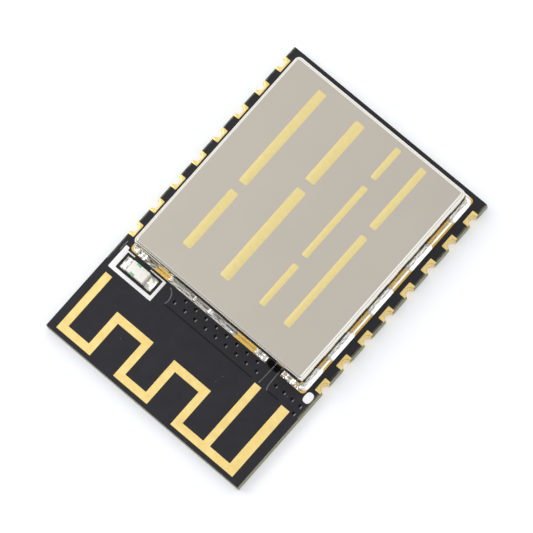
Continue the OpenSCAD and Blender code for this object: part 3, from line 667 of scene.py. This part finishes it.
def can_solder():
    """One run of solder round the can's foot, open at the feed line: a bead that swells into deposits."""
    solid = NODES["shield_solder"].data
    tree = BVHTree.FromPolygons([v.co for v in solid.vertices], [p.vertices for p in solid.polygons])
    outline = rounded_outline(CAN_LOW, CAN_HIGH, CAN_CORNER_R, SOLDER_STEP, SOLDER_CORNER_STEPS)
    probes = [centre + facing * (CAN_CORNER_R + PROBE_OUT) for centre, facing in outline]
    heights = [cad_solder_height(tree, probe) for probe in probes]
    bare = [i for i, height in enumerate(heights) if height < BARE_H]
    start = bare[-1] + 1
    order = [(start + i) % len(outline) for i in range(len(outline) - len(bare))]
    share = smoothed([1.0 if heights[i] > DEPOSIT_MARK_H else 0.0 for i in order], DEPOSIT_BLUR)
    rings = []
    for k, i in enumerate(order):
        centre, facing = outline[i]
        along = k * SOLDER_STEP / MM
        rough = SIDE_ROUGH
        bead_w, bead_h = BEAD_W, BEAD_H
        if facing.y > ANTENNA_SIDE:
            rough = FRONT_ROUGH if FRONT_ENDS[0] < centre.x / MM < FRONT_ENDS[1] else CORNER_ROUGH
            bead_w, bead_h = FRONT_BEAD_W, FRONT_BEAD_H
        height = bead_h + share[k] * (DEPOSIT_H - bead_h)
        waves = LONG_WAVES * wander(along / LUMP_LONG) + SHORT_WAVES * wander(along / LUMP_SHORT, 7)
        height *= 1 + rough * waves
        width = bead_w + share[k] * (SOLDER_REACH - bead_w)
        bead_waves = (1 - share[k]) * BEAD_WAVES * wander(along / LUMP_SHORT, 11)
        deposit_waves = rough * share[k] * DEPOSIT_WAVES * wander(along / LUMP_MIDDLE, 3)
        width *= 1 + bead_waves + deposit_waves
        width = min(width, SOLDER_REACH)
        rings.append(solder_section(centre, facing, width, height, along, rough * share[k]))
    bm = bmesh.new()
    loft(bm, rings)
    for x, width in DROPS:
        middle = Vector((x * MM, CAN_HIGH.y + DROP_OUT * SOLDER_REACH))
        dome(bm, middle, width * MM, DROP_L * SOLDER_REACH, DROP_H)
    add_piece("can_solder", bm, "solder", "shield_solder")


def solder_section(centre, facing, width, height, along, rough):
    """One slice of solder: a slope from its toe up to the wall, lumpy where rough, and the film above it."""
    hollow = HOLLOW + rough * (HOLLOW_ROUGH + HOLLOW_WAVES * wander(along / LUMP_MIDDLE, 5))
    points = []
    for row in range(SOLDER_ROWS + 1):
        t = row / SOLDER_ROWS
        out = FILM_W + (width - FILM_W) * (1 - t) ** hollow
        up = height * t ** hollow
        lump = LUMP_H * rough * math.sin(math.pi * t) * wander(along / LUMP_FINE, t * LUMP_ROWS, 9)
        spot = centre + facing * (CAN_CORNER_R + max(out + lump, 0.0))
        points.append((spot.x, spot.y, BOARD_TOP + max(up + lump, 0.0)))
    foot = centre + facing * CAN_CORNER_R
    points.append((foot.x, foot.y, BOARD_TOP + height * FILM_RISE))
    points.append((foot.x, foot.y, BOARD_TOP))
    return points


# ---------------------------------------------------------------- gold contacts
LAND_W = 0.43 * MM
LAND_CORNER_R = 0.07 * MM
LAND_CORNER_STEPS = 6
LAND_PROUD = 0.012 * MM       # how far an upper land stands above the mask,
LAND_EDGE = 0.024 * MM        # and how far its edge is rounded off
LOWER_LAND_EDGE = 0.005 * MM
HOLE_R = 0.3 * MM
PLATING = 0.03 * MM
COPPER = BOARD_TOP - BOARD_HIGH.z  # its thickness, and the mask's
BARREL_STEPS = 24


def contact_outline(width, length):
    """A land with its half hole, in plan. The edge of the board is x = 0, and the board lies at x < 0."""
    hole = [Vector(p) for p in arc((0, 0), HOLE_R, 270, 90, BARREL_STEPS)]
    inner = []
    for turn, start in ((1, 90), (-1, 180)):
        centre = (-width + LAND_CORNER_R, turn * (length / 2 - LAND_CORNER_R))
        inner += [Vector(p) for p in arc(centre, LAND_CORNER_R, start, start + 90, LAND_CORNER_STEPS)]
    return [Vector((0, -length / 2)), *hole, Vector((0, length / 2)), *inner]


def gold_contact(name):
    """Upper land, plated half hole and lower land, with soft edges and a finely rounded hole."""
    low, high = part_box(name)
    length = high.y - low.y
    crest = BOARD_TOP + LAND_PROUD
    bm = bmesh.new()
    flat_shape(bm, contact_outline(LAND_W, length), BOARD_HIGH.z, crest, LAND_EDGE)
    flat_shape(bm, contact_outline(high.x - low.x, length), 0, COPPER, LOWER_LAND_EDGE)
    section = [
        (HOLE_R, 0),
        (HOLE_R, crest - LAND_EDGE),
        (HOLE_R + EDGE_MIDDLE * LAND_EDGE, crest - EDGE_MIDDLE * LAND_EDGE),
        (HOLE_R + LAND_EDGE, crest),
        (HOLE_R + PLATING, BOARD_TOP),
        (HOLE_R + PLATING, 0),
    ]
    turns = [math.radians(90 + 180 * i / BARREL_STEPS) for i in range(BARREL_STEPS + 1)]
    loft(bm, [[(r * math.cos(a), r * math.sin(a), z) for r, z in section] for a in turns])
    left = low.x + high.x < 0
    turn = Matrix.Rotation(math.pi if left else 0, 4, "Z")
    edge = Vector((low.x if left else high.x, (low.y + high.y) / 2, 0))
    bmesh.ops.transform(bm, matrix=Matrix.Translation(edge) @ turn, verts=bm.verts)
    add_piece("gold_" + name, bm, "gold_plate", name)


# ---------------------------------------------------------------- relief in the mask
# painted shade and highlight on each via: a black disc, and a pale rim on the other side, offset the same way
# on every via
VIA_PIT_W = 0.20 * MM
VIA_PIT_H = 0.003 * MM
VIA_PIT_SHIFT = Vector((0.06, -0.02)) * MM
VIA_RIM_W = 0.09 * MM
VIA_RIM_L = 0.19 * MM
VIA_RIM_H = 0.03 * MM
VIA_RIM_SHIFT = Vector((-0.065, 0.025)) * MM
VIA_RIM_VARIES = 0.25
RIDGE_W = 0.08 * MM
RIDGE_H = 0.03 * MM
RIDGE_ENDS = 0.3              # a ridge's height at its ends, as a share
RIDGE_SIDES = 8
CURVE_STEPS = 8
# where the ridges run, in mm: X from the feed line, and Y from the ring's +Y side
RIDGES_BY_FEED = (
    ((-0.6, 1.25), (-0.5, 0.95), (-0.47, 0.4), (-0.45, -0.2)),
    ((0.08, 1.2), (0.05, 0.7), (0.02, -0.22)),
    ((7.9, 1.22), (7.85, 0.85), (8.0, 0.45), (8.3, 0.2)),
)
RIDGE_IN = 0.33 * MM          # the last one's X counts from this far inside the board's +X edge
RIDGE_BY_EDGE = ((0.0, -0.3), (0.02, 0.4))
POUR_OUT = 1.25 * MM          # how far from the ring the sheet of buried copper ends
POUR_EDGES = ((-1.6, -0.7), (0.6, 7.9))  # the X of its edge's two ends from the feed line, in mm
# painted shade: the copper's edge is a low ridge of black, dull mask
POUR_EDGE_W = 0.10 * MM
POUR_EDGE_H = 0.006 * MM
POUR_STEPS = 12
# painted shade: a black patch on the mask in front of the can's notch
NOTCH_SHADE_L = 0.40 * MM
NOTCH_SHADE_H = 0.004 * MM
NOTCH_SHADE_IN = 0.14 * MM     # its middle's distance from the ring's +Y side


def via_tents():
    """Over each via a black spot, painted shade where the mask sinks into the hole, and beside it a pale rim,
    a painted highlight.
    """
    pit_shades = bmesh.new()
    rim_highlights = bmesh.new()
    for low, high in parts_of("via_barrels"):
        middle = ((low + high) / 2).xy
        size = 1 + VIA_RIM_VARIES * wander(middle.x / MM, middle.y / MM)
        dome(pit_shades, middle + VIA_PIT_SHIFT, VIA_PIT_W, VIA_PIT_W, VIA_PIT_H)
        dome(rim_highlights, middle + VIA_RIM_SHIFT, VIA_RIM_W, VIA_RIM_L * size, VIA_RIM_H * size)
    add_piece("via_pit_shades", pit_shades, "solder_mask", finish=SHADE_MASK)
    add_piece("via_rim_highlights", rim_highlights, "solder_mask", finish=RIM_HIGHLIGHT_MASK)


def ridge(bm, points, width=RIDGE_W, height=RIDGE_H):
    """A low rounded ridge on the mask, over a buried track's edge, along points in the board's plane."""
    last = len(points) - 1
    rings = []
    for k, point in enumerate(points):
        along = (points[min(k + 1, last)] - points[max(k - 1, 0)]).normalized()
        across = Vector((-along.y, along.x))
        taper = RIDGE_ENDS if k in (0, last) else 1.0
        ring = []
        for u, v in arc((0, 0), 1, 0, 180, RIDGE_SIDES):
            ring.append((*(point + across * u * width / 2), BOARD_TOP + v * height * taper))
        rings.append(ring)
    loft(bm, rings)


def curve_through(points):
    """A smooth curve through a few points, a Catmull-Rom spline."""
    ends = [points[0] * 2 - points[1], *points, points[-1] * 2 - points[-2]]
    curve = []
    for a, b, c, d in zip(ends, ends[1:], ends[2:], ends[3:]):
        for i in range(CURVE_STEPS):
            t = i / CURVE_STEPS
            squared = (2 * a - 5 * b + 4 * c - d) * t ** 2
            cubed = (3 * b - a - 3 * c + d) * t ** 3
            curve.append(0.5 * (2 * b + (c - a) * t + squared + cubed))
    return [*curve, points[-1]]


def mask_relief():
    """Pale ridges over buried tracks, a painted highlight; the dark step at the copper's edge and the dark in
    the can's notch, both painted shade.
    """
    front = RING_HIGH.y
    runs = [(FEED_X, path) for path in RIDGES_BY_FEED]
    runs.append((BOARD_HIGH.x - RIDGE_IN, RIDGE_BY_EDGE))
    bm = bmesh.new()
    for start_x, path in runs:
        ridge(bm, curve_through([Vector((start_x + x * MM, front + y * MM)) for x, y in path]))
    add_piece("mask_relief", bm, "solder_mask", finish=RIDGE_HIGHLIGHT_MASK)
    bm = bmesh.new()
    for start, end in POUR_EDGES:
        steps = [(start + (end - start) * i / POUR_STEPS) * MM for i in range(POUR_STEPS + 1)]
        ridge(bm, [Vector((FEED_X + x, front + POUR_OUT)) for x in steps], POUR_EDGE_W, POUR_EDGE_H)
    add_piece("pour_edge_shade", bm, "solder_mask", finish=STEP_SHADE_MASK)
    bm = bmesh.new()
    dome(bm, Vector((FEED_X, front - NOTCH_SHADE_IN)), FEED_NOTCH_W, NOTCH_SHADE_L, NOTCH_SHADE_H)
    add_piece("notch_shade", bm, "solder_mask", finish=SHADE_MASK)


# ---------------------------------------------------------------- indicator LED
LED_SEAT_IN = 0.01 * MM       # the base ends this far inside the terminals' ends
LED_SEAT_EDGE = 0.02 * MM
LENS_OVERHANG = 0.17 * MM
LENS_EDGE = 0.06 * MM
LENS_EDGE_STEPS = 5
LENS_TAPER = 0.94             # the lens's length at its top, as a share
TERMINAL_CORNER_L = 0.17 * MM
TERMINAL_CORNER_W = 0.16 * MM
TERMINAL_PROUD = 0.02 * MM    # how far the corners stand above the CAD's terminals
TERMINAL_EDGE = 0.02 * MM
TERMINAL_SHEET = 0.03 * MM
TERMINAL_SHEET_IN = 0.02 * MM
TERMINAL_SHEET_EDGE = 0.005 * MM
FILLET_STEPS = 14
FILLET_SIDES = 16
FILLET_SPREAD = 1.06          # its width at the terminal, as a share of the CAD's,
FILLET_BULGE = 0.04           # how much wider it is halfway,
FILLET_RISE = 1.1             # and its height at the terminal, as a share of the CAD's
FILLET_TOE = (0.99, 12)       # how nearly its sides meet at the toe, and how square the toe is
FILLET_SLOPE = (0.97, 0.8)    # the share of its height that it loses by the toe, and below 1 a bulge
FILLET_ROUND = 0.8            # below 1 its section is fuller than round
FILLET_LUMP = 0.35
FILLET_LUMPS = (1.9, 2.6, 5)  # lumps across it and along it, and from one fillet to the next
MARK_CORNER_R = 0.04 * MM
MARK_SUNK = 0.01 * MM
MARK_EDGE = 0.008 * MM


def led_body():
    """A white base and a milky lens, both with soft edges."""
    low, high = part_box("led_base")
    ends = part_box("led_terminals")
    start, end = ends[0].x + LED_SEAT_IN, ends[1].x - LED_SEAT_IN
    bm = bmesh.new()
    rounded_block(bm, (start, low.y, low.z), (end, high.y, high.z), LED_SEAT_EDGE)
    add_piece("led_seat", bm, "led_white", "led_base")
    low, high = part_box("led_lens")
    middle = (low.x + high.x) / 2
    out = Vector((LENS_OVERHANG, 0, 0))
    bm = bmesh.new()
    rounded_block(bm, low - out, high + out, LENS_EDGE, LENS_EDGE_STEPS)
    for vert in bm.verts:
        if vert.co.z > (low.z + high.z) / 2:
            vert.co.x = middle + (vert.co.x - middle) * LENS_TAPER
    add_piece("led_dome", bm, "led_cream", "led_lens")


def led_terminals():
    """At each end a thin tinned plate, with two corners that show beside the lens."""
    low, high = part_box("led_terminals")
    corner_l, corner_w = TERMINAL_CORNER_L, TERMINAL_CORNER_W
    sheet, inside = TERMINAL_SHEET, TERMINAL_SHEET_IN
    top = high.z + TERMINAL_PROUD
    bm = bmesh.new()
    for x0, x1 in ((low.x, low.x + corner_l), (high.x - corner_l, high.x)):
        for y0, y1 in ((low.y, low.y + corner_w), (high.y - corner_w, high.y)):
            rounded_block(bm, (x0, y0, low.z), (x1, y1, top), TERMINAL_EDGE)
    for x0, x1 in ((low.x, low.x + sheet), (high.x - sheet, high.x)):
        rounded_block(bm, (x0, low.y + inside, low.z), (x1, high.y - inside, high.z), TERMINAL_SHEET_EDGE)
    add_piece("led_ends", bm, "gold_plate", "led_terminals", finish=TERMINAL)


def led_solder():
    """Bright solder at each end: it climbs the terminal, bulges sideways and runs out to a round toe."""
    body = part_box("led_terminals")
    toe, square = FILLET_TOE
    drop, slope = FILLET_SLOPE
    lumps_across, lumps_along, next_one = FILLET_LUMPS
    bm = bmesh.new()
    for part, (low, high) in enumerate(parts_of("led_solder")):
        outwards = 1 if part else -1
        start = body[1].x if part else body[0].x
        length = high.x - low.x
        half = (high.y - low.y) / 2
        middle = (high.y + low.y) / 2
        rings = []
        for i in range(FILLET_STEPS + 1):
            t = i / FILLET_STEPS
            bulge = FILLET_SPREAD + FILLET_BULGE * math.sin(math.pi * t)
            spread = half * bulge * math.sqrt(max(1 - (toe * t) ** square, 0.0))
            rise = (high.z - low.z) * FILLET_RISE * (1 - drop * t) ** slope
            ring = []
            for u, v in arc((0, 0), 1, 0, 180, FILLET_SIDES):
                lump = 1 + FILLET_LUMP * wander(u * lumps_across, t * lumps_along, part * next_one)
                up = abs(v) ** FILLET_ROUND * rise * lump
                ring.append((start + outwards * t * length, middle + u * spread, BOARD_TOP + up))
            rings.append(ring)
        loft(bm, rings)
    add_piece("led_fillets", bm, "solder", "led_solder")


def led_marks():
    """Two green marks painted on the lens."""
    bm = bmesh.new()
    for low, high in parts_of("led_marks"):
        outline = softened(box_outline(low.xy, high.xy), MARK_CORNER_R)
        flat_shape(bm, outline, low.z - MARK_SUNK, high.z, MARK_EDGE)
    add_piece("led_paint", bm, "led_green", "led_marks")


# ---------------------------------------------------------------- printing
INK_EDGE = 0.012 * MM
DOT_CORNER_R = 0.36 * MM
DOT_CORNER_STEPS = 10
FRAME_CORNER_R = 0.06 * MM
FRAME_OUTER_BAR = 0.4 * MM
FRAME_INNER_BAR = 0.22 * MM
FRAME_UPPER_BAR = 0.26 * MM
FRAME_LOWER_BAR = 0.08 * MM
FRAME_TAIL_L = 0.2 * MM
FRAME_TAIL_W = 0.3 * MM
FRAME_OPENING_L = 1.3 * MM
FRAME_OPENING_SHIFT = 0.27 * MM
PRINT_H = 0.004 * MM          # how far a bar on the lid stands above it, and how far it reaches into it
BAR_CORNER_R = 0.12 * MM
BAR_SHARE = 0.34              # a bar's height as a share of its row's
BAR_GAP = 0.7                 # in mm, as the rows are
# each row's middle X, height, start and end along Y, and its bars' shares of its length
LID_ROWS = (
    (4.1, 1.9, -10.3, 2.6, (5, 3)),
    (0.95, 2.1, -10.3, 2.6, (4, 6)),
    (-1.95, 1.3, -10.6, 2.4, (3, 7, 4)),
    (-4.0, 1.5, -10.6, 2.4, (6, 9)),
)


def led_frame():
    """The printed frame round the LED: one stroke of ink, open beside the can, with a tail at one end."""
    low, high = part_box("led_frame_print")
    foot = low.y + FRAME_TAIL_L
    left, right = low.x + FRAME_INNER_BAR, high.x - FRAME_OUTER_BAR
    lower, upper = foot + FRAME_LOWER_BAR, high.y - FRAME_UPPER_BAR
    opening = (left + right) / 2 + FRAME_OPENING_SHIFT
    start, end = opening - FRAME_OPENING_L / 2, opening + FRAME_OPENING_L / 2
    corners = [
        (end, foot), (high.x - FRAME_TAIL_W, foot), (high.x - FRAME_TAIL_W, low.y), (high.x, low.y),
        (high.x, high.y), (low.x, high.y), (low.x, foot), (start, foot), (start, lower), (left, lower),
        (left, upper), (right, upper), (right, lower), (end, lower),
    ]
    bm = bmesh.new()
    flat_shape(bm, softened([Vector(c) for c in corners], FRAME_CORNER_R), low.z, high.z, INK_EDGE)
    add_piece("led_frame", bm, "white_print", "led_frame_print")


def contact_dot():
    """The printed dot beside the first contact, an oval."""
    low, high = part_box("first_contact_dot")
    outline = softened(box_outline(low.xy, high.xy), DOT_CORNER_R, DOT_CORNER_STEPS)
    bm = bmesh.new()
    flat_shape(bm, outline, low.z, high.z, INK_EDGE)
    add_piece("contact_dot", bm, "white_print", "first_contact_dot")


def lid_print():
    """Plain bars on the lid, in rows, where a maker would put words."""
    bm = bmesh.new()
    for x, height, start, end, shares in LID_ROWS:
        half = height * BAR_SHARE / 2
        unit = (end - start - BAR_GAP * (len(shares) - 1)) / sum(shares)
        y = start
        for share in shares:
            corners = box_outline(((x - half) * MM, y * MM), ((x + half) * MM, (y + share * unit) * MM))
            outline = softened(corners, BAR_CORNER_R)
            flat_shape(bm, outline, CAN_HIGH.z - PRINT_H, CAN_HIGH.z + PRINT_H, PRINT_H / 2)
            y += share * unit + BAR_GAP
    add_piece("lid_bars", bm, "gold_plate", finish=LID_PRINT)


# ---------------------------------------------------------------- floor and light
FLOOR_SIZE = 600 * MM
FLOOR_DROP = 0.01 * MM        # how far the floor lies below the part, so that their faces don't meet
FLOOR_COLOUR = (0.80, 0.825, 0.87)
FLOOR_LIFT = 0.22             # the light that the floor adds where it is seen, so that it looks white
TENT_CEILING = 0.88           # the light tent's brightness straight overhead,
TENT_WALL = 1.18              # and at its walls,
TENT_DARK_SIDE = 0.45         # times this on the +Y side, where the tent is open,
TENT_HORIZON = 0.15           # and times this near the floor, which draws the grey line in the can's bend
CEILING_SPAN = (0.75, 0.95)   # a direction's Z between which walls turn into ceiling,
DARK_SIDE_SPAN = (0.1, 0.7)   # its Y between which the dark side begins,
HORIZON_SPAN = (0.04, 0.28)   # and its Z between which the dark near the floor ends
LAMP_WATTS = 0.125
LAMP_SIZE = 120 * MM
LAMP_PLACE = Vector((150, 60, 190)) * MM


def add_floor():
    """A plain white sheet under the part, which keeps the part's soft shadow."""
    mesh = bpy.data.meshes.new("floor")
    half = FLOOR_SIZE / 2
    corners = [(-half, -half, 0), (half, -half, 0), (half, half, 0), (-half, half, 0)]
    mesh.from_pydata(corners, [], [(0, 1, 2, 3)])
    floor = bpy.data.objects.new("floor", mesh)
    floor.location.z = -FLOOR_DROP
    bpy.context.scene.collection.objects.link(floor)
    s = Shader("floor_paper", Roughness=0.9, Specular_IOR_Level=0.1)
    s.set(Base_Color=colour(FLOOR_COLOUR), Emission_Color=colour((1, 1, 1)))
    rays = s.tree.nodes.new("ShaderNodeLightPath").outputs
    seen = s.math("MAXIMUM", rays["Is Camera Ray"], rays["Is Glossy Ray"])
    s.set(Emission_Strength=s.math("MULTIPLY", seen, FLOOR_LIFT))
    mesh.materials.append(s.material)


def add_tent():
    """The world is a light tent: even walls, a darker ceiling and +Y side, and a dark gap near the floor."""
    world = bpy.data.worlds.new("tent")
    world.use_nodes = True
    bpy.context.scene.world = world
    tree = world.node_tree
    tree.nodes.clear()

    def multiply(first, second):
        made = tree.nodes.new("ShaderNodeMath")
        made.operation = "MULTIPLY"
        tree.links.new(first, made.inputs[0])
        tree.links.new(second, made.inputs[1])
        return made.outputs[0]

    def span(value, *limits):
        made = tree.nodes.new("ShaderNodeMapRange")
        made.interpolation_type = "SMOOTHSTEP"
        tree.links.new(value, made.inputs["Value"])
        for socket, number in zip(("From Min", "From Max", "To Min", "To Max"), limits):
            made.inputs[socket].default_value = number
        return made.outputs[0]

    direction = tree.nodes.new("ShaderNodeTexCoord").outputs["Generated"]
    split = tree.nodes.new("ShaderNodeSeparateXYZ")
    tree.links.new(direction, split.inputs[0])
    level = span(split.outputs["Z"], *CEILING_SPAN, TENT_WALL, TENT_CEILING)
    level = multiply(level, span(split.outputs["Y"], *DARK_SIDE_SPAN, 1, TENT_DARK_SIDE))
    level = multiply(level, span(split.outputs["Z"], *HORIZON_SPAN, TENT_HORIZON, 1))
    light = tree.nodes.new("ShaderNodeBackground")
    light.inputs["Color"].default_value = (1, 1, 1, 1)
    tree.links.new(level, light.inputs["Strength"])
    white = tree.nodes.new("ShaderNodeBackground")
    white.inputs["Color"].default_value = (1, 1, 1, 1)
    choose = tree.nodes.new("ShaderNodeMixShader")
    rays = tree.nodes.new("ShaderNodeLightPath").outputs
    tree.links.new(rays["Is Camera Ray"], choose.inputs[0])
    tree.links.new(light.outputs[0], choose.inputs[1])
    tree.links.new(white.outputs[0], choose.inputs[2])
    output = tree.nodes.new("ShaderNodeOutputWorld")
    tree.links.new(choose.outputs[0], output.inputs["Surface"])


def add_lamp():
    """One broad lamp from the +X side, so that the shadow falls to the -X side."""
    data = bpy.data.lights.new("lamp", "AREA")
    data.size = LAMP_SIZE
    data.energy = LAMP_WATTS
    lamp = bpy.data.objects.new("lamp", data)
    lamp.location = LAMP_PLACE
    lamp.rotation_mode = "QUATERNION"
    lamp.rotation_quaternion = LAMP_PLACE.to_track_quat("Z", "Y")
    bpy.context.scene.collection.objects.link(lamp)


bpy.context.scene.view_settings.view_transform = "Standard"
add_camera()
add_floor()
add_tent()
add_lamp()
dress_cad_nodes()
shield_can()
can_solder()
for name in NODES:
    if name.startswith("contact_"):
        gold_contact(name)
for name in ("antenna_trace", "ground_ring", "component_lands"):
    soften_edges(name)
via_tents()
mask_relief()
led_body()
led_terminals()
led_solder()
led_marks()
led_frame()
contact_dot()
lid_print()
